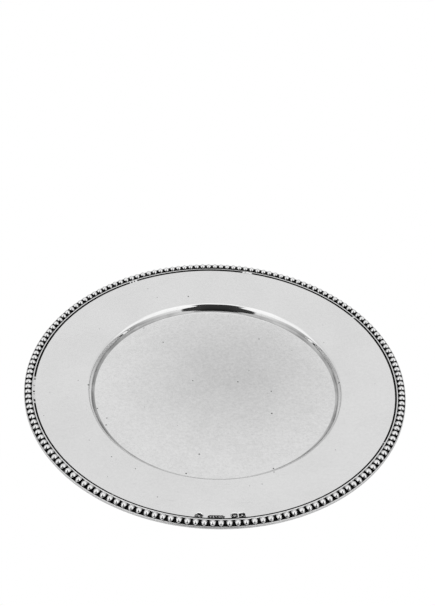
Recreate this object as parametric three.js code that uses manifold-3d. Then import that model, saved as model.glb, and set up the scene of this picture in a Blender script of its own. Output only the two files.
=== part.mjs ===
// A round silver paten: a spun sheet plate with a shallow well and a wide rim that
// rises gently to a soldered border of beaded wire. All sizes are in millimetres.
// Z is up, and the origin is the centre of the flat foot that the plate stands on.

import * as THREE from "three";
import { mergeVertices } from "three/addons/utils/BufferGeometryUtils.js";
import Module from "manifold-3d";

const wasm = await Module();
wasm.setup();

// ---------- Driving dimensions ----------

const OUTER_RADIUS = 82.5; // 165 mm across, a 6 1/2 inch paten
const SHEET = 0.8; // gauge of the silver sheet, the same all over the plate
const WELL_RADIUS = 53.9; // where the floor's and the wall's planes would meet
const SHOULDER_RADIUS = 55.3; // where the wall's and the rim's planes would meet
const WELL_DEPTH = 2.9; // floor to shoulder
const RIM_SLOPE = THREE.MathUtils.degToRad(10); // the wide rim's rise towards its edge
const LAND_RADIUS = 78.15; // where the rim bends level, to carry the border
const FOOT_BEND = 0.6; // inside radius of the bend from floor to wall
const SHOULDER_BEND = 2.0; // outside radius of the bend from wall to rim
const BEND_STEPS = 4; // flats along each bend
const PLATE_SEGMENTS = 120; // flats round the plate

const BEAD_COUNT = 163;
const BEAD_LENGTH = 2.9; // each bead is an oval dome, longest across the border
const BEAD_WIDTH = 2.6;
const BEAD_HEIGHT = 1.55;
const BEAD_CIRCLE = 80.75; // radius of the circle through the beads' centres
const BEAD_SIDES = 8;
const BEAD_RINGS = 2;

const BORDER_INNER = 78.7; // inner wall of the beaded wire
const BORDER_OUTER = 82.45; // outer wall, filed almost flush with the plate's edge
const FLANGE = 0.3; // thickness of the wire's plain lines beside the beads
const CHANNEL_DROP = 0.15; // how far the floor between the beads lies below the lines
const INNER_LINE = 0.5; // width of the plain line inside the beads
const OUTER_LINE = 0.25; // width of the plain line outside the beads

const SOLDER = 0.08; // thickness of the solder between the rim and the wire
const SOLDER_TOE = 0.45; // how far the solder's fillet runs onto the rim
const SOLDER_RISE = 0.3; // how far it climbs the wire's inner wall
const CLEARANCE = 0.01; // kept between pieces that touch

const JOINT_ANGLE = THREE.MathUtils.degToRad(188); // where the wire's two ends meet
const JOINT_GAP = 0.16; // between the wire's two ends
const JOINT_SOLDER = 0.13; // thickness of the solder in that gap

const MARK_DEPTH = 0.14; // how deep the marks are struck into the rim

// ---------- Derived places ----------

const floorTop = SHEET;
const shoulderTop = floorTop + WELL_DEPTH;
const rimTop = (r) => shoulderTop + (r - SHOULDER_RADIUS) * Math.tan(RIM_SLOPE);
const landTop = rimTop(LAND_RADIUS);
const wireBase = landTop + SOLDER + 2 * CLEARANCE;
const flangeTop = wireBase + FLANGE;
const channelTop = flangeTop - CHANNEL_DROP;

// ---------- Helpers ----------

// A solid of revolution about Z from a closed outline of [radius, height] points,
// given anticlockwise with radius to the right and height up.
function turned(outline, segments) {
  const closed = [...outline, outline[0]];
  const points = closed.map(([r, z]) => new THREE.Vector2(r, z));
  const geometry = new THREE.LatheGeometry(points, segments);
  return geometry.rotateX(Math.PI / 2);
}

function solidOf(geometry) {
  const bare = geometry.clone();
  bare.deleteAttribute("normal");
  bare.deleteAttribute("uv");
  const merged = mergeVertices(bare, 1e-4);
  return new wasm.Manifold(
    new wasm.Mesh({
      numProp: 3,
      vertProperties: merged.attributes.position.array,
      triVerts: new Uint32Array(merged.index.array),
    }),
  );
}

function geometryOf(solid) {
  const mesh = solid.getMesh();
  const positions = new Float32Array(mesh.numVert * 3);
  for (let i = 0; i < mesh.numVert; i++) {
    positions.set(mesh.vertProperties.subarray(i * mesh.numProp, i * mesh.numProp + 3), i * 3);
  }
  const geometry = new THREE.BufferGeometry();
  geometry.setAttribute("position", new THREE.BufferAttribute(positions, 3));
  geometry.setIndex(new THREE.BufferAttribute(mesh.triVerts, 1));
  geometry.computeVertexNormals();
  return geometry;
}

// Points along an arc from one angle to another.
function arc(centre, radius, from, to, steps) {
  return Array.from({ length: steps + 1 }, (_, i) => {
    const angle = from + ((to - from) * i) / steps;
    return [centre[0] + radius * Math.cos(angle), centre[1] + radius * Math.sin(angle)];
  });
}

// One face of the sheet, from the floor's edge outwards. The floor is level, the wall
// climbs at wallSlope, the rim at RIM_SLOPE, and the land under the border is level.
// lift is the face's distance from the underside: 0 is the underside, SHEET the top.
const wallSlope = Math.atan2(WELL_DEPTH, SHOULDER_RADIUS - WELL_RADIUS);

function sheetFace(lift) {
  const quarter = Math.PI / 2;
  const footTangent = FOOT_BEND * Math.tan(wallSlope / 2);
  const footCentre = [WELL_RADIUS - footTangent, floorTop + FOOT_BEND];
  const shoulderTangent = SHOULDER_BEND * Math.tan((wallSlope - RIM_SLOPE) / 2);
  const shoulderCentre = [
    SHOULDER_RADIUS + shoulderTangent * Math.cos(RIM_SLOPE) + SHOULDER_BEND * Math.sin(RIM_SLOPE),
    shoulderTop + shoulderTangent * Math.sin(RIM_SLOPE) - SHOULDER_BEND * Math.cos(RIM_SLOPE),
  ];
  const below = SHEET - lift;
  const foot = arc(footCentre, FOOT_BEND + below, -quarter, wallSlope - quarter, BEND_STEPS);
  const shoulder = arc(
    shoulderCentre,
    SHOULDER_BEND - below,
    wallSlope + quarter,
    RIM_SLOPE + quarter,
    BEND_STEPS,
  );
  const land = [LAND_RADIUS + below * Math.tan(RIM_SLOPE / 2), landTop - below];
  return [...foot, ...shoulder, land, [OUTER_RADIUS, landTop - below]];
}

// ---------- The plate ----------

// A struck mark: a flat punch outline with raised pips left standing inside it.
function punch(outline, pips) {
  const shape = new THREE.Shape(outline);
  shape.holes = pips.map(([x, y, radius]) => {
    const pip = new THREE.Path();
    pip.absarc(x, y, radius, 0, 2 * Math.PI, true);
    return pip;
  });
  return new THREE.ExtrudeGeometry(shape, { depth: 1, bevelEnabled: false, curveSegments: 8 });
}

function roundedBar(width, height, corner) {
  const [w, h] = [width / 2 - corner, height / 2 - corner];
  const quarter = Math.PI / 2;
  return [
    ...arc([w, -h], corner, -quarter, 0, 3),
    ...arc([w, h], corner, 0, quarter, 3),
    ...arc([-w, h], corner, quarter, 2 * quarter, 3),
    ...arc([-w, -h], corner, 2 * quarter, 3 * quarter, 3),
  ].map(([x, y]) => new THREE.Vector2(x, y));
}

// Four generic marks near the front edge: an oval, a long bar and two small squares.
const squareMark = { radius: 76.9, outline: roundedBar(2.4, 2.1, 0.25), pips: [[0, 0, 0.35]] };
const MARKS = [
  { at: -93, radius: 77.1, outline: roundedBar(3.1, 2.0, 0.95), pips: [[0, 0, 0.35]] },
  {
    at: -88.2,
    radius: 77.2,
    outline: roundedBar(6.3, 1.5, 0.7),
    pips: [-2, -1, 0, 1, 2].map((x) => [x, 0, 0.22]),
  },
  { at: -83.15, ...squareMark },
  { at: -81.0, ...squareMark },
];

// The punch's cutter, lying on the rim's slope with its lower face MARK_DEPTH under it.
function markCutter({ at, radius, outline, pips }) {
  const angle = THREE.MathUtils.degToRad(at);
  const place = new THREE.Matrix4()
    .makeRotationZ(angle + Math.PI / 2)
    .multiply(new THREE.Matrix4().makeTranslation(0, -radius, rimTop(radius)))
    .multiply(new THREE.Matrix4().makeRotationX(-RIM_SLOPE))
    .multiply(new THREE.Matrix4().makeTranslation(0, 0, -MARK_DEPTH));
  return solidOf(punch(outline, pips).applyMatrix4(place));
}

function plateGeometry() {
  const under = sheetFace(0);
  const top = sheetFace(SHEET).reverse();
  let plate = solidOf(turned([[0, 0], ...under, ...top, [0, floorTop]], PLATE_SEGMENTS));
  for (const mark of MARKS) {
    plate = plate.subtract(markCutter(mark));
  }
  return geometryOf(plate);
}

// ---------- The beaded border ----------

// The wire's cross-section without its beads: a flat strip with a plain line on each
// side of a shallow channel. margin shrinks it, for the solder at the joint.
function wireSection(margin = 0) {
  const inner = BORDER_INNER + margin;
  const outer = BORDER_OUTER - margin;
  const channelIn = BORDER_INNER + INNER_LINE;
  const channelOut = BORDER_OUTER - OUTER_LINE;
  return [
    [inner, wireBase + margin],
    [outer, wireBase + margin],
    [outer, flangeTop - margin],
    [channelOut, flangeTop - margin],
    [channelOut - CHANNEL_DROP, channelTop - margin],
    [channelIn + CHANNEL_DROP, channelTop - margin],
    [channelIn, flangeTop - margin],
    [inner, flangeTop - margin],
  ];
}

// A bead's dome, turned as a round one and stretched oval. Its foot is sunk a little
// into the wire.
function beadGeometry() {
  const sunk = Math.asin(0.08);
  const dome = arc([0, 0], 1, -sunk, Math.PI / 2, BEAD_RINGS);
  dome[dome.length - 1] = [0, 1];
  const round = turned([[0, dome[0][1]], ...dome], BEAD_SIDES);
  return round.scale(BEAD_LENGTH / 2, BEAD_WIDTH / 2, BEAD_HEIGHT);
}

function borderGeometry() {
  const pitch = (2 * Math.PI) / BEAD_COUNT;
  const wire = solidOf(turned(wireSection(), BEAD_COUNT));
  const bead = beadGeometry().translate(BEAD_CIRCLE, 0, channelTop);
  const beads = Array.from({ length: BEAD_COUNT }, (_, i) => {
    const angle = JOINT_ANGLE + (i + 0.5) * pitch;
    return solidOf(bead.clone().rotateZ(angle));
  });
  const beaded = wasm.Manifold.union([wire, ...beads]);
  const saw = new THREE.BoxGeometry(20, JOINT_GAP, 20);
  saw.translate(BEAD_CIRCLE, 0, channelTop);
  return geometryOf(beaded.subtract(solidOf(saw.rotateZ(JOINT_ANGLE))));
}

// ---------- Solder ----------

// The film between the rim and the wire, with its fillet against the inner wall.
function borderSolderGeometry() {
  const base = landTop + CLEARANCE;
  const inner = BORDER_INNER - 0.04;
  const toe = inner - SOLDER_TOE;
  const outline = [
    [toe, base],
    [BORDER_OUTER, base],
    [BORDER_OUTER, base + SOLDER],
    [inner, base + SOLDER],
    [inner, base + SOLDER_RISE],
    [toe, base + 0.05],
  ];
  return turned(outline, PLATE_SEGMENTS);
}

// The sliver of solder that closes the ring of beaded wire.
function jointSolderGeometry() {
  const margin = 0.03;
  const shape = new THREE.Shape(wireSection(margin).map(([r, z]) => new THREE.Vector2(r, z)));
  const sliver = new THREE.ExtrudeGeometry(shape, { depth: JOINT_SOLDER, bevelEnabled: false });
  return sliver
    .translate(0, 0, -JOINT_SOLDER / 2)
    .rotateX(Math.PI / 2)
    .rotateZ(JOINT_ANGLE);
}

// ---------- The assembly ----------

const sheetSilver = new THREE.MeshStandardMaterial({
  color: 0xd9d8d5,
  roughness: 0.32,
  metalness: 1,
});
const borderSilver = new THREE.MeshStandardMaterial({
  color: 0xdedcd8,
  roughness: 0.18,
  metalness: 1,
});
const tarnishedSolder = new THREE.MeshStandardMaterial({
  color: 0x4a4744,
  roughness: 0.5,
  metalness: 1,
});

function piece(name, geometry, material) {
  const mesh = new THREE.Mesh(geometry, material);
  mesh.name = name;
  return mesh;
}

const paten = new THREE.Group();
paten.add(
  piece("plate_body", plateGeometry(), sheetSilver),
  piece("beaded_border", borderGeometry(), borderSilver),
  piece("border_solder", borderSolderGeometry(), tarnishedSolder),
  piece("border_joint_solder", jointSolderGeometry(), tarnishedSolder),
);

export default paten;
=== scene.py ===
import math
import random

import bpy
from mathutils import Matrix, Vector, noise


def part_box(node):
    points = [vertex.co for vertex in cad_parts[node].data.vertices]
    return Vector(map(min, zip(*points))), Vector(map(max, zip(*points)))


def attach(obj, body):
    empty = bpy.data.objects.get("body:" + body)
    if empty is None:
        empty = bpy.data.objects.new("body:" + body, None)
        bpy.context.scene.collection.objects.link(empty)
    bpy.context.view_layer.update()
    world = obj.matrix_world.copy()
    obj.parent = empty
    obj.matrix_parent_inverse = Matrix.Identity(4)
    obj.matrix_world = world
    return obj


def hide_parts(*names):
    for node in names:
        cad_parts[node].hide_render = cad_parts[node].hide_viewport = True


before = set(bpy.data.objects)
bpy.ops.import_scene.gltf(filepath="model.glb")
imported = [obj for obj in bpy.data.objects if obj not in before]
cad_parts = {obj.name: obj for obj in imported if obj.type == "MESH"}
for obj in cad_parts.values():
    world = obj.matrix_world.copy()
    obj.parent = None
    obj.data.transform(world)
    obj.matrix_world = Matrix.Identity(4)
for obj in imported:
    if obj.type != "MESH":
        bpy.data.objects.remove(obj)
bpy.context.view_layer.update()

# A silver paten plate with a border of beaded wire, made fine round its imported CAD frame.
# Lengths are in metres. Angles run anticlockwise from +X, seen from above.

MM = 0.001

# ---------- Sizes that the frame gives ----------

_, sheet_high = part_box("plate_body")
wire_low, wire_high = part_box("beaded_border")
joint_low, joint_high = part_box("border_joint_solder")

OUTER_RADIUS = sheet_high.x
LAND_TOP = sheet_high.z
WIRE_BASE = wire_low.z
WIRE_OUTER = wire_high.x
BEAD_TOP = wire_high.z

# ---------- Driving dimensions, as in the CAD ----------

SHEET = 0.8 * MM
WELL_RADIUS = 53.9 * MM
SHOULDER_RADIUS = 55.3 * MM
WELL_DEPTH = 2.9 * MM
RIM_SLOPE = math.radians(10)
LAND_RADIUS = 78.15 * MM
SHOULDER_BEND = 2.0 * MM

BEAD_COUNT = 163
BEAD_LENGTH = 2.9 * MM
BEAD_WIDTH = 2.6 * MM
BEAD_HEIGHT = 1.55 * MM
BEAD_CIRCLE = 80.75 * MM
WIRE_INNER = 78.7 * MM
LINE_TOP = WIRE_BASE + 0.3 * MM
CHANNEL_TOP = BEAD_TOP - BEAD_HEIGHT
INNER_LINE = 0.5 * MM
OUTER_LINE = 0.25 * MM
JOINT_ANGLE = math.radians(188)
JOINT_GAP = 0.16 * MM
MARK_DEPTH = 0.14 * MM

# ---------- Dimensions of the visual alone ----------

FOOT_BEND = 1.4 * MM  # the CAD has 0.6, in flats
EDGE_CORNER = 0.12 * MM  # the softened corners of the sheet's edge and of the wire
SOLDER_GAP = 0.01 * MM  # kept between the rim and the solder
SOLDER_FILM = 0.08 * MM
SOLDER_REACH = 0.74 * MM  # how far the solder's toe runs onto the rim
SOLDER_REACH_VARIES = 0.06 * MM
SOLDER_RISE = 0.03 * MM  # how far the solder climbs the wire where it is thin
SOLDER_FLOOD_RISE = 0.24 * MM  # and how much further where it floods
JOINT_SHARE = 0.11  # the sliver's half thickness, as a share of its box's depth

# ---------- Fineness of the meshes ----------

PLATE_SEGMENTS = 720
WIRE_STEPS = 4  # steps of the wire's section for each bead
BEAD_SIDES = 28
BEAD_RINGS = 9


# ---------- Mesh helpers ----------

def arc(centre, radius, start, end, steps):
    """Points (radius, height) along an arc, both ends included."""
    points = []
    for i in range(steps + 1):
        angle = start + (end - start) * i / steps
        points.append((centre[0] + radius * math.cos(angle), centre[1] + radius * math.sin(angle)))
    return points


def between(start, end, steps):
    """Points from start to end, without the end itself."""
    return [
        (start[0] + (end[0] - start[0]) * i / steps, start[1] + (end[1] - start[1]) * i / steps)
        for i in range(steps)
    ]


def on_circle(radius, angle, height):
    return Vector((radius * math.cos(angle), radius * math.sin(angle), height))


def mesh_object(name, verts, faces, materials, sharp_angle=math.radians(40)):
    mesh = bpy.data.meshes.new(name)
    mesh.from_pydata(verts, [], faces)
    mesh.validate()
    for material in materials:
        mesh.materials.append(material)
    mesh.polygons.foreach_set("use_smooth", [True] * len(mesh.polygons))
    mesh.set_sharp_from_angle(angle=sharp_angle)
    obj = bpy.data.objects.new(name, mesh)
    bpy.context.scene.collection.objects.link(obj)
    return obj


def ring_faces(rows, columns):
    """Quads between closed rows of equal length, facing out for an anticlockwise outline."""
    faces = []
    for row in range(rows - 1):
        for column in range(columns):
            a = row * columns + column
            b = row * columns + (column + 1) % columns
            faces.append((a, b, b + columns, a + columns))
    return faces


def smooth_step(value, low, high):
    t = min(1.0, max(0.0, (value - low) / (high - low)))
    return t * t * (3 - 2 * t)


def add_attribute(obj, name, values):
    attribute = obj.data.attributes.new(name, "FLOAT", "POINT")
    attribute.data.foreach_set("value", values)


# ---------- Node helpers ----------

class Tree:
    """Adds nodes to a node tree. A socket or a plain value may be given for any input."""

    def __init__(self, tree):
        self.tree = tree

    def add(self, kind, inputs=(), **properties):
        node = self.tree.nodes.new(kind)
        for name, value in properties.items():
            setattr(node, name, value)
        for key, value in dict(inputs).items():
            if isinstance(value, bpy.types.NodeSocket):
                self.tree.links.new(value, node.inputs[key])
            else:
                node.inputs[key].default_value = value
        return node

    def math(self, operation, a, b=0.0, clamp=False):
        node = self.add("ShaderNodeMath", {0: a, 1: b}, operation=operation, use_clamp=clamp)
        return node.outputs[0]

    def step(self, value, low, high, bottom=0.0, top=1.0):
        """A smooth step from bottom to top as value goes from low to high."""
        inputs = {"Value": value, "From Min": low, "From Max": high, "To Min": bottom, "To Max": top}
        node = self.add("ShaderNodeMapRange", inputs, interpolation_type="SMOOTHSTEP")
        return node.outputs[0]

    def mix(self, factor, a, b):
        node = self.add("ShaderNodeMix", data_type="RGBA")
        for index, value in ((0, factor), (6, a), (7, b)):
            if isinstance(value, bpy.types.NodeSocket):
                self.tree.links.new(value, node.inputs[index])
            else:
                node.inputs[index].default_value = value
        return node.outputs[2]

    def grey(self, tone):
        return self.add("ShaderNodeCombineColor", {0: tone, 1: tone, 2: tone}).outputs[0]

    def noise(self, vector, scale, detail=2.0, roughness=0.5):
        inputs = {"Vector": vector, "Scale": scale, "Detail": detail, "Roughness": roughness}
        return self.add("ShaderNodeTexNoise", inputs).outputs[0]


def new_material(name):
    material = bpy.data.materials.new(name)
    material.use_nodes = True
    shader = material.node_tree.nodes["Principled BSDF"]
    return material, Tree(material.node_tree), shader


def grey(value):
    return (value, value, value, 1.0)


# ---------- Materials ----------

# The sheet's look. Lengths are in millimetres, and tones are shares of the light reflected.
SCRATCHES = (  # direction, length over width, scale, threshold
    (0.5, 26, 2.2, 0.7),
    (1.9, 34, 2.6, 0.71),
    (2.7, 22, 3.1, 0.72),
)
PIT_CELLS = 0.2  # cells per millimetre, each with one pit at most
PITTED_SHARE = 0.93  # cells whose random number is above this have a pit
PIT_SIZE = 0.03  # smallest, as a share of a cell
PIT_SIZE_VARIES = 0.05
CREASE_RADIUS = 53.7 * MM  # where painted shade darkens the foot's bend
SMUDGE = (-8.0, -10.0, 0.0)  # shift that brings a dull patch near the well's middle to the origin
SMUDGE_REACH = 60.0
SMUDGE_DARKENS = 0.19
SCRATCH_DARKENS = 0.1
SPECKLE_RIM = 0.13
SPECKLE_WELL = 0.2  # on top of the rim's
# tone of the painted shade in the bend at the well's foot
CREASE_SHADE_TONE = 0.16
PIT_TONE = 0.06


def millimetre_coords(tree):
    """The place on the object in metres, and the same in millimetres."""
    place = tree.add("ShaderNodeTexCoord").outputs["Object"]
    scaled = tree.add("ShaderNodeVectorMath", {0: place, "Scale": 1 / MM}, operation="SCALE")
    return place, scaled.outputs[0]


def radius_of(tree, place):
    """The distance from the plate's axis, in metres."""
    axes = tree.add("ShaderNodeSeparateXYZ", {0: place})
    flat = tree.add("ShaderNodeCombineXYZ", {0: axes.outputs[0], 1: axes.outputs[1], 2: 0.0})
    length = tree.add("ShaderNodeVectorMath", {0: flat.outputs[0]}, operation="LENGTH")
    return length.outputs["Value"]


def scratches(tree, coords, angle, stretch, scale, low):
    """Thin straight streaks along one direction: 1 in a scratch and 0 elsewhere."""
    turned = tree.add(
        "ShaderNodeMapping",
        {"Vector": coords, "Rotation": (0, 0, angle), "Scale": (scale / stretch, scale, scale)},
    )
    streak = tree.noise(turned.outputs[0], 1.0, detail=1.0)
    return tree.step(streak, low, low + 0.04)


def scratch_mask(tree, coords):
    """All the scratches, only where the sheet is worn."""
    marks = None
    for angle, stretch, scale, low in SCRATCHES:
        layer = scratches(tree, coords, angle, stretch, scale, low)
        marks = layer if marks is None else tree.math("MAXIMUM", marks, layer)
    worn = tree.step(tree.noise(coords, 0.07, detail=2.0), 0.45, 0.65)
    return tree.math("MULTIPLY", marks, worn)


def pit_mask(tree, coords):
    """1 in the small scattered pits and 0 elsewhere."""
    cells = tree.add(
        "ShaderNodeTexVoronoi",
        {"Vector": coords, "Scale": PIT_CELLS},
        feature="F1",
        voronoi_dimensions="2D",
    )
    colour = tree.add("ShaderNodeSeparateColor", {0: cells.outputs["Color"]})
    chosen = tree.step(colour.outputs[0], PITTED_SHARE, PITTED_SHARE + 0.01)
    size = tree.math("MULTIPLY", colour.outputs[1], PIT_SIZE_VARIES)
    near = tree.math("SUBTRACT", tree.math("ADD", size, PIT_SIZE), cells.outputs["Distance"])
    return tree.math("MULTIPLY", tree.step(near, 0.0, 0.012), chosen)


def crease_shade_mask(tree, coords, radius):
    """An uneven ring of painted shade in the bend at the well's foot."""
    off_crease = tree.math("ABSOLUTE", tree.math("SUBTRACT", radius, CREASE_RADIUS))
    crease = tree.step(off_crease, 0.85 * MM, 0.5 * MM)
    uneven = tree.step(tree.noise(coords, 0.09, detail=3.0), 0.3, 0.65, 0.5, 0.9)
    return tree.math("MULTIPLY", crease, uneven)


def smudge_mask(tree, coords):
    """A soft round patch, the same at every height."""
    shifted = tree.add("ShaderNodeMapping", {"Vector": coords, "Location": SMUDGE, "Scale": (1, 1, 0)})
    away = tree.add("ShaderNodeVectorMath", {0: shifted.outputs[0]}, operation="LENGTH")
    return tree.step(away.outputs["Value"], SMUDGE_REACH, 4.0)


def sheet_silver():
    """Hand-polished sheet: soft mottling, fine scratches in all directions, a few pits and painted shade in
    the bend at the well's foot.
    """
    material, tree, shader = new_material("sheet_silver")
    place, coords = millimetre_coords(tree)
    radius = radius_of(tree, place)
    broad = tree.noise(coords, 0.045, detail=5.0, roughness=0.6)
    grain = tree.noise(coords, 0.9, detail=4.0, roughness=0.65)
    marks = scratch_mask(tree, coords)
    pits = pit_mask(tree, coords)
    crease_shade = crease_shade_mask(tree, coords, radius)
    smudge = smudge_mask(tree, coords)
    well = tree.step(radius, WELL_RADIUS + 0.6 * MM, WELL_RADIUS - 1.2 * MM)
    on_wall = tree.step(radius, SHOULDER_RADIUS + 2.2 * MM, SHOULDER_RADIUS + 1.0 * MM)

    mottle = tree.math("SUBTRACT", tree.noise(coords, 0.8, detail=3.0, roughness=0.7), 0.5)
    strength = tree.math("ADD", SPECKLE_RIM, tree.math("MULTIPLY", well, SPECKLE_WELL))
    smudged = tree.math("MULTIPLY", smudge, well)
    tone = tree.step(broad, 0.3, 0.7, 0.935, 0.975)
    tone = tree.math("ADD", tone, tree.math("MULTIPLY", mottle, strength))
    tone = tree.math("SUBTRACT", tone, tree.math("MULTIPLY", smudged, SMUDGE_DARKENS))
    tone = tree.math("SUBTRACT", tone, tree.math("MULTIPLY", marks, SCRATCH_DARKENS))
    clean = tree.grey(tone)
    # painted shade: an uneven dark ring in the bend at the well's foot
    crease_shaded = tree.mix(tree.math("MULTIPLY", crease_shade, 0.8), clean, grey(CREASE_SHADE_TONE))
    pitted = tree.mix(tree.math("MULTIPLY", pits, 0.85), crease_shaded, grey(PIT_TONE))
    tree.tree.links.new(pitted, shader.inputs["Base Color"])

    roughness = tree.step(broad, 0.3, 0.7, 0.20, 0.13)
    roughness = tree.math("ADD", roughness, tree.math("MULTIPLY", well, 0.1))
    roughness = tree.math("SUBTRACT", roughness, tree.math("MULTIPLY", on_wall, 0.1))
    roughness = tree.math("ADD", roughness, tree.math("MULTIPLY", marks, 0.12))
    roughness = tree.math("ADD", roughness, tree.math("MULTIPLY", pits, 0.4), clamp=True)
    tree.tree.links.new(roughness, shader.inputs["Roughness"])
    shader.inputs["Metallic"].default_value = 1.0

    height = tree.math("MULTIPLY", grain, 0.12)
    height = tree.math("SUBTRACT", height, tree.math("MULTIPLY", marks, 0.5))
    height = tree.math("SUBTRACT", height, tree.math("MULTIPLY", pits, 2.0))
    bump = tree.add("ShaderNodeBump", {"Height": height, "Distance": 0.02 * MM, "Strength": 0.6})
    tree.tree.links.new(bump.outputs[0], shader.inputs["Normal"])
    return material


def silver_with_patina_and_shade(name, clean_tone, clean_roughness, dark_tone):
    """Polished silver that turns black where the mesh's darkening attribute is 1: black oxide, and on the
    beads and in the channel between them painted shade as well.
    """
    material, tree, shader = new_material(name)
    coords = millimetre_coords(tree)[1]
    patina_and_shade = tree.add("ShaderNodeAttribute", attribute_name="patina_and_shade").outputs["Fac"]
    fine = tree.noise(coords, 1.6, detail=3.0)
    uneven = tree.math("ADD", patina_and_shade, tree.math("MULTIPLY", tree.math("SUBTRACT", fine, 0.5), 0.5))
    dark = tree.step(uneven, 0.32, 0.66)
    broad = tree.noise(coords, 0.12, detail=3.0)
    tone = tree.step(broad, 0.3, 0.7, clean_tone - 0.05, clean_tone)
    tree.tree.links.new(tree.mix(dark, tree.grey(tone), grey(dark_tone)), shader.inputs["Base Color"])
    wear = tree.step(fine, 0.35, 0.7, clean_roughness, clean_roughness + 0.08)
    roughness = tree.math("ADD", wear, tree.math("MULTIPLY", dark, 0.4))
    tree.tree.links.new(roughness, shader.inputs["Roughness"])
    shader.inputs["Metallic"].default_value = 1.0
    bump = tree.add("ShaderNodeBump", {"Height": fine, "Distance": 0.01 * MM, "Strength": 0.5})
    tree.tree.links.new(bump.outputs[0], shader.inputs["Normal"])
    return material


def mark_oxide():
    """Black oxide in the struck marks, rubbed through to bright silver in small spots."""
    material, tree, shader = new_material("mark_oxide")
    coords = millimetre_coords(tree)[1]
    fine = tree.noise(coords, 1.9, detail=2.0)
    rubbed = tree.step(fine, 0.56, 0.64)
    tree.tree.links.new(tree.mix(rubbed, grey(0.012), grey(0.8)), shader.inputs["Base Color"])
    tree.tree.links.new(tree.step(fine, 0.5, 0.66, 0.55, 0.2), shader.inputs["Roughness"])
    shader.inputs["Metallic"].default_value = 1.0
    bump = tree.add("ShaderNodeBump", {"Height": fine, "Distance": 0.03 * MM, "Strength": 0.8})
    tree.tree.links.new(bump.outputs[0], shader.inputs["Normal"])
    return material


SHEET_SILVER = sheet_silver()
BORDER_SILVER = silver_with_patina_and_shade("border_silver", 0.97, 0.08, 0.012)
SOLDER = silver_with_patina_and_shade("solder", 0.93, 0.14, 0.012)
MARK_OXIDE = mark_oxide()


# ---------- The plate ----------

WALL_SLOPE = math.atan2(WELL_DEPTH, SHOULDER_RADIUS - WELL_RADIUS)
QUARTER = math.pi / 2


def rim_top(radius):
    return SHEET + WELL_DEPTH + (radius - SHOULDER_RADIUS) * math.tan(RIM_SLOPE)


def sheet_face(lift, bend_steps):
    """One face of the sheet from the floor's edge to the land's bend. lift is 0 for the underside."""
    foot_tangent = FOOT_BEND * math.tan(WALL_SLOPE / 2)
    foot_centre = (WELL_RADIUS - foot_tangent, SHEET + FOOT_BEND)
    tangent = SHOULDER_BEND * math.tan((WALL_SLOPE - RIM_SLOPE) / 2)
    shoulder_centre = (
        SHOULDER_RADIUS + tangent * math.cos(RIM_SLOPE) + SHOULDER_BEND * math.sin(RIM_SLOPE),
        rim_top(SHOULDER_RADIUS) + tangent * math.sin(RIM_SLOPE) - SHOULDER_BEND * math.cos(RIM_SLOPE),
    )
    below = SHEET - lift
    foot = arc(foot_centre, FOOT_BEND + below, -QUARTER, WALL_SLOPE - QUARTER, bend_steps)
    shoulder = arc(
        shoulder_centre, SHOULDER_BEND - below, WALL_SLOPE + QUARTER, RIM_SLOPE + QUARTER, bend_steps
    )
    land = (LAND_RADIUS + below * math.tan(RIM_SLOPE / 2), LAND_TOP - below)
    wall = between(foot[-1], shoulder[0], 4)[1:]
    rim = between(shoulder[-1], land, 12)[1:]
    return foot + wall + shoulder + rim + [land]


def ripple(x, y, radius):
    """The sheet's slight unevenness, largest on the well's wall."""
    broad = noise.noise(Vector((x, y, 0.0)) / (17 * MM)) * 0.03 * MM
    on_wall = smooth_step(radius, WELL_RADIUS, 54 * MM) * smooth_step(radius, 60 * MM, 57 * MM)
    local = noise.noise(Vector((x, y, 9 * MM)) / (8 * MM)) * 0.14 * MM
    return broad * smooth_step(radius, 77 * MM, 70 * MM) + local * on_wall


def plate_mesh():
    """The spun sheet, without its marks."""
    upper = sheet_face(SHEET, 10)
    top = [(0.0, SHEET)] + between((4 * MM, SHEET), upper[0], 11) + upper
    under = sheet_face(0.0, 6)
    under = [(0.0, 0.0)] + between((8 * MM, 0.0), under[0], 3) + under
    corner = EDGE_CORNER
    edge_top = arc((OUTER_RADIUS - corner, LAND_TOP - corner), corner, QUARTER, 0, 3)
    edge_low = arc((OUTER_RADIUS - corner, LAND_TOP - SHEET + corner), corner, 0, -QUARTER, 3)
    profile = top + edge_top + edge_low + under[::-1]
    verts = [Vector((0, 0, profile[0][1]))]
    for index, (radius, height) in enumerate(profile[1:-1]):
        for i in range(PLATE_SEGMENTS):
            point = on_circle(radius, 2 * math.pi * i / PLATE_SEGMENTS, height)
            if index < len(top) - 1:
                point.z += ripple(point.x, point.y, radius)
            verts.append(point)
    verts.append(Vector((0, 0, profile[-1][1])))
    rows = len(profile) - 2
    last = len(verts) - 1
    faces = [tuple(i + 1 for i in face[::-1]) for face in ring_faces(rows, PLATE_SEGMENTS)]
    for i in range(PLATE_SEGMENTS):
        following = (i + 1) % PLATE_SEGMENTS
        faces.append((0, 1 + i, 1 + following))
        base = 1 + (rows - 1) * PLATE_SEGMENTS
        faces.append((last, base + following, base + i))
    return mesh_object("plate", verts, faces, [SHEET_SILVER, MARK_OXIDE])


def rounded_bar(width, height, corner):
    w, h = width / 2 - corner, height / 2 - corner
    outline = []
    for index, (x, y) in enumerate(((w, -h), (w, h), (-w, h), (-w, -h))):
        outline += arc((x, y), corner, (index - 1) * QUARTER, index * QUARTER, 5)
    return outline


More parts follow.
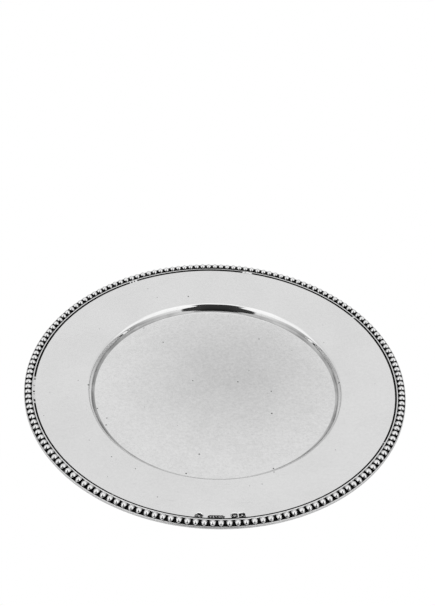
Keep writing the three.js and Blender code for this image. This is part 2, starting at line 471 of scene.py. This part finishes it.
def mark_cutter(degrees, radius, outline, pips):
    """A punch: its outline, with round pips left standing, sunk MARK_DEPTH into the rim."""
    curve = bpy.data.curves.new("punch", "CURVE")
    curve.dimensions = "2D"
    curve.fill_mode = "BOTH"
    curve.extrude = 0.5 * MM
    rounds = [arc((x, y), size, 0, 2 * math.pi, 14)[:-1] for x, y, size in pips]
    for points in [outline, *rounds]:
        spline = curve.splines.new("POLY")
        spline.points.add(len(points) - 1)
        for point, (x, y) in zip(spline.points, points):
            point.co = (x * MM, y * MM, 0, 1)
        spline.use_cyclic_u = True
    holder = bpy.data.objects.new("punch", curve)
    mesh = bpy.data.meshes.new_from_object(holder)
    angle = math.radians(degrees)
    mesh.transform(
        Matrix.Rotation(angle + QUARTER, 4, "Z")
        @ Matrix.Translation((0, -radius, rim_top(radius)))
        @ Matrix.Rotation(-RIM_SLOPE, 4, "X")
        @ Matrix.Translation((0, 0, curve.extrude - MARK_DEPTH))
    )
    bpy.data.objects.remove(holder)
    mesh.materials.clear()
    mesh.materials.append(MARK_OXIDE)
    cutter = bpy.data.objects.new("punch", mesh)
    bpy.context.scene.collection.objects.link(cutter)
    return cutter


SQUARE = rounded_bar(2.4, 2.1, 0.25)
MARKS = (
    (-93, 77.1, rounded_bar(3.1, 2.0, 0.95), [(0, 0, 0.35)]),
    (-88.2, 77.2, rounded_bar(6.3, 1.5, 0.7), [(x, 0, 0.22) for x in (-2, -1, 0, 1, 2)]),
    (-83.15, 76.9, SQUARE, [(0, 0, 0.35)]),
    (-81.0, 76.9, SQUARE, [(0, 0, 0.35)]),
)


def apply_modifiers(obj):
    evaluated = obj.evaluated_get(bpy.context.evaluated_depsgraph_get())
    mesh = bpy.data.meshes.new_from_object(evaluated)
    obj.modifiers.clear()
    obj.data = mesh


def make_plate():
    plate = plate_mesh()
    for degrees, radius, outline, pips in MARKS:
        cutter = mark_cutter(degrees, radius * MM, outline, pips)
        cut = plate.modifiers.new("mark", "BOOLEAN")
        cut.operation = "DIFFERENCE"
        cut.solver = "EXACT"
        cut.material_mode = "TRANSFER"
        cut.object = cutter
        apply_modifiers(plate)
        bpy.data.objects.remove(cutter)
    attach(plate, "root")
    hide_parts("plate_body")
    return plate


# ---------- The beaded wire ----------

def wire_outline():
    """The wire's section from its inner foot over the top to its outer foot: (radius, height, darkness),
    the darkness being black oxide and, in the channel, painted shade as well.
    """
    soft = EDGE_CORNER
    channel_in = WIRE_INNER + INNER_LINE
    channel_out = WIRE_OUTER - OUTER_LINE
    inner = arc((WIRE_INNER + soft, LINE_TOP - soft), soft, math.pi, QUARTER, 4)
    inner_end = arc((channel_in - soft, LINE_TOP - soft), soft, QUARTER, 0.3, 3)
    outer_start = arc((channel_out + soft / 2, LINE_TOP - soft / 2), soft / 2, math.pi - 0.3, QUARTER, 3)
    outer = arc((WIRE_OUTER - soft, LINE_TOP - soft), soft, QUARTER, 0, 4)
    section = [(WIRE_INNER, WIRE_BASE, 1.0)]
    section += [(r, z, 0.0) for r, z in inner]
    section += [(r, z, 0.0) for r, z in inner_end]
    # black oxide in the channel between the beads and on the outer line's inner side, with painted shade
    # there as well
    section += [(channel_in + soft, CHANNEL_TOP, 1.0), (channel_out - soft, CHANNEL_TOP, 1.0)]
    section += [(r, z, 0.35) for r, z in outer_start]
    section += [(r, z, 0.1) for r, z in outer]
    section += [(WIRE_OUTER, WIRE_BASE, 0.4)]
    return section


def strip_mesh(verts, faces, patina_and_shade, start, end, steps):
    """Adds the plain wire from one angle to another, closed below and at both ends."""
    section = wire_outline()
    first = len(verts)
    for i in range(steps + 1):
        angle = start + (end - start) * i / steps
        for radius, height, dark in section:
            verts.append(on_circle(radius, angle, height))
            patina_and_shade.append(dark)
    count = len(section)
    for i in range(steps):
        for j in range(count):
            following = (j + 1) % count
            a, b = first + i * count + j, first + i * count + following
            faces.append((a, a + count, b + count, b))
    faces.append(tuple(first + j for j in range(count)))
    faces.append(tuple(first + steps * count + j for j in reversed(range(count))))


def bead_mesh(verts, faces, patina_and_shade, angle, rng):
    """Adds one bead: an oval dome, a little different from its neighbours."""
    length = BEAD_LENGTH / 2 * rng.uniform(0.97, 1.0)
    width = BEAD_WIDTH / 2 * rng.uniform(0.96, 1.02)
    height = BEAD_HEIGHT * rng.uniform(0.96, 1.0)
    angle += rng.uniform(-0.04, 0.04) * MM / BEAD_CIRCLE
    circle = BEAD_CIRCLE + rng.uniform(-0.03, 0.03) * MM
    first = len(verts)
    sunk = math.radians(8)
    for ring in range(BEAD_RINGS):
        rise = -sunk + (QUARTER + sunk) * ring / BEAD_RINGS
        for side in range(BEAD_SIDES):
            turn = 2 * math.pi * side / BEAD_SIDES
            along, across = math.cos(turn), math.sin(turn)
            local = Vector((
                circle + length * math.cos(rise) * along,
                width * math.cos(rise) * across,
                CHANNEL_TOP + height * math.sin(rise),
            ))
            local.rotate(Matrix.Rotation(angle, 3, "Z"))
            verts.append(local)
            # painted shade: each bead's lower flanks go dark, as black oxide and as the shade between the
            # beads, leaving a bright cap
            shade = 1 - smooth_step(math.sin(rise), 0.1 + 0.24 * abs(across), 0.26 + 0.36 * abs(across))
            patina_and_shade.append(shade)
    for face in ring_faces(BEAD_RINGS, BEAD_SIDES):
        faces.append(tuple(first + i for i in face))
    verts.append(on_circle(circle, angle, CHANNEL_TOP + height))
    patina_and_shade.append(0.0)
    apex = len(verts) - 1
    base = first + (BEAD_RINGS - 1) * BEAD_SIDES
    for side in range(BEAD_SIDES):
        faces.append((base + side, base + (side + 1) % BEAD_SIDES, apex))
    faces.append(tuple(first + side for side in reversed(range(BEAD_SIDES))))


def make_border():
    rng = random.Random(7)
    verts, faces, patina_and_shade = [], [], []
    half_gap = JOINT_GAP / 2 / BEAD_CIRCLE
    start = JOINT_ANGLE + half_gap
    end = JOINT_ANGLE + 2 * math.pi - half_gap
    strip_mesh(verts, faces, patina_and_shade, start, end, BEAD_COUNT * WIRE_STEPS)
    for i in range(BEAD_COUNT):
        bead_mesh(verts, faces, patina_and_shade, JOINT_ANGLE + (i + 0.5) * 2 * math.pi / BEAD_COUNT, rng)
    border = mesh_object("beaded_wire", verts, faces, [BORDER_SILVER])
    add_attribute(border, "patina_and_shade", patina_and_shade)
    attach(border, "root")
    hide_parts("beaded_border")


# ---------- Solder ----------

# Where the solder has flowed out over the joint: (degrees, half width in degrees, amount).
FLOODS = ((190, 8, 0.6), (123, 2, 0.6), (80, 2.5, 0.6), (-28, 1.5, 0.35), (-118, 2, 0.35), (35, 1.2, 0.3))


def flood(angle):
    """How far the solder stands proud at an angle, from 0 to 1."""
    total = 0.0
    for degrees, half_width, amount in FLOODS:
        away = abs((math.degrees(angle) - degrees + 180) % 360 - 180)
        total = max(total, amount * (1 - smooth_step(away, half_width * 0.5, half_width)))
    uneven = noise.noise(Vector((math.cos(angle), math.sin(angle), 0.0)) * 60)
    return min(1.0, max(0.0, total * (1 + 1.6 * uneven)))


def make_border_solder():
    """The solder's fillet along the wire's inner wall, dark where it is thin and bright where it floods."""
    steps = BEAD_COUNT * WIRE_STEPS
    base = LAND_TOP + SOLDER_GAP
    inner = WIRE_INNER - 0.02 * MM
    verts, faces, patina_and_shade = [], [], []
    for i in range(steps):
        angle = 2 * math.pi * i / steps
        amount = flood(angle)
        uneven = noise.noise(Vector((angle * 40, 0, 0)))
        toe = inner - SOLDER_REACH - SOLDER_REACH_VARIES * uneven
        toe_drop = max(0.0, LAND_RADIUS - toe) * math.tan(RIM_SLOPE)
        rise = SOLDER_RISE + SOLDER_FLOOD_RISE * amount
        film = base + SOLDER_FILM
        section = (
            (toe, base - toe_drop),
            (LAND_RADIUS + 0.02 * MM, base),
            (WIRE_OUTER - 0.05 * MM, base),
            (WIRE_OUTER - 0.05 * MM, film),
            (inner, film),
            (inner, film + rise),
            ((inner + toe) / 2, base + 0.03 * MM + (film + rise - base) * (0.1 + 0.55 * amount)),
            (toe + 0.03 * MM, base + 0.03 * MM - toe_drop),
        )
        for radius, height in section:
            verts.append(on_circle(radius, angle, height))
            patina_and_shade.append(1 - amount * 1.2)
    count = len(section)
    for i in range(steps):
        following = (i + 1) % steps
        for j in range(count):
            k = (j + 1) % count
            faces.append((i * count + j, following * count + j, following * count + k, i * count + k)[::-1])
    solder = mesh_object("border_fillet", verts, faces, [SOLDER], math.radians(60))
    add_attribute(solder, "patina_and_shade", patina_and_shade)
    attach(solder, "root")
    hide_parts("border_solder")


def make_joint_solder():
    """The sliver that closes the ring, with the same section as the wire."""
    verts, faces, patina_and_shade = [], [], []
    half = (joint_high.y - joint_low.y) * JOINT_SHARE / BEAD_CIRCLE
    strip_mesh(verts, faces, patina_and_shade, JOINT_ANGLE - half, JOINT_ANGLE + half, 4)
    sliver = mesh_object("joint_sliver", verts, faces, [SOLDER])
    add_attribute(sliver, "patina_and_shade", [0.5] * len(verts))
    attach(sliver, "root")
    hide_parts("border_joint_solder")


# ---------- The studio ----------

FLOOR_SIZE = 6.0
CAMERA_RISE = math.radians(42.37)
CAMERA_DISTANCE = 396.1 * MM
CAMERA_TARGET = Vector((0, 0, CHANNEL_TOP + 0.64 * MM))
CAMERA_PITCH = math.radians(4.48)
CAMERA_YAW = math.radians(0.08)
CAMERA_ROLL = math.radians(2.42)
CAMERA_LENS = 53.64

HORIZON_LIGHT = 0.08
TENT_LIGHT = 0.72
PANEL_LIGHT = 0.27  # added by the bright top and sides
GAP_LIGHT = 0.045  # share of the light left in the dark gap


def make_floor():
    """A plain pale floor: clean white to the eye, and a softly lit pale grey to what reflects it."""
    half = FLOOR_SIZE / 2
    corners = [(-half, -half, 0), (half, -half, 0), (half, half, 0), (-half, half, 0)]
    material, tree, shader = new_material("pale_floor")
    shader.inputs["Base Color"].default_value = (0.75, 0.75, 0.75, 1)
    shader.inputs["Roughness"].default_value = 0.9
    white = tree.add("ShaderNodeEmission", {"Color": (1, 1, 1, 1), "Strength": 1.0})
    seen = tree.add("ShaderNodeLightPath").outputs["Is Camera Ray"]
    mixed = tree.add("ShaderNodeMixShader", {0: seen, 1: shader.outputs[0], 2: white.outputs[0]})
    output = tree.tree.nodes["Material Output"]
    tree.tree.links.new(mixed.outputs[0], output.inputs[0])
    floor = mesh_object("floor", corners, [(0, 1, 2, 3)], [material])
    floor.location.z = -0.02 * MM


def make_world():
    """A light tent: grey behind, bright overhead and at both sides, with a dark gap in front."""
    world = bpy.data.worlds.new("light_tent")
    bpy.context.scene.world = world
    world.use_nodes = True
    tree = Tree(world.node_tree)
    direction = tree.add("ShaderNodeTexCoord").outputs["Generated"]
    parts = tree.add("ShaderNodeSeparateXYZ", {0: direction})
    x, y, z = parts.outputs
    side = tree.math("ABSOLUTE", x)

    level = tree.step(z, 0.0, 0.32, HORIZON_LIGHT, TENT_LIGHT)
    level = tree.math("MULTIPLY", level, tree.step(side, 0.35, 0.6, 1.0, 0.93))
    overhead = tree.math("MULTIPLY", tree.step(z, 0.86, 0.95), tree.step(y, 0.5, 0.3))
    bright_side = tree.math("MULTIPLY", tree.step(side, 0.12, 0.3), tree.step(y, 0.3, 0.02))
    bright_side = tree.math("MULTIPLY", bright_side, tree.step(z, -0.05, 0.15))
    lit = tree.math("MAXIMUM", overhead, bright_side)
    level = tree.math("ADD", level, tree.math("MULTIPLY", lit, PANEL_LIGHT))

    gap_half = tree.step(z, 0.1, 0.85, 0.54, 0.2)
    gap = tree.step(tree.math("SUBTRACT", side, gap_half), 0.012, -0.012)
    gap = tree.math("MULTIPLY", gap, tree.step(y, -0.1, -0.14))
    level = tree.math("MULTIPLY", level, tree.step(gap, 0.0, 1.0, 1.0, GAP_LIGHT))

    seen = tree.add("ShaderNodeLightPath").outputs["Is Camera Ray"]
    colour = tree.mix(seen, tree.grey(level), (1, 1, 1, 1))
    tree.tree.links.new(colour, tree.tree.nodes["Background"].inputs["Color"])


def make_camera():
    data = bpy.data.cameras.new("camera")
    data.sensor_width = 36
    data.lens = CAMERA_LENS
    data.clip_start = 0.01
    camera = bpy.data.objects.new("camera", data)
    bpy.context.scene.collection.objects.link(camera)
    back = Vector((0, -math.cos(CAMERA_RISE), math.sin(CAMERA_RISE)))
    right = Vector((1, 0, 0))
    facing = Matrix((right, back.cross(right), back)).transposed()
    turn = (
        facing
        @ Matrix.Rotation(CAMERA_PITCH, 3, "X")
        @ Matrix.Rotation(CAMERA_YAW, 3, "Y")
        @ Matrix.Rotation(CAMERA_ROLL, 3, "Z")
    )
    camera.matrix_world = Matrix.Translation(CAMERA_TARGET + back * CAMERA_DISTANCE) @ turn.to_4x4()
    bpy.context.scene.camera = camera


make_camera()
make_plate()
make_border()
make_border_solder()
make_joint_solder()
make_floor()
make_world()
bpy.context.scene.view_settings.view_transform = "Standard"
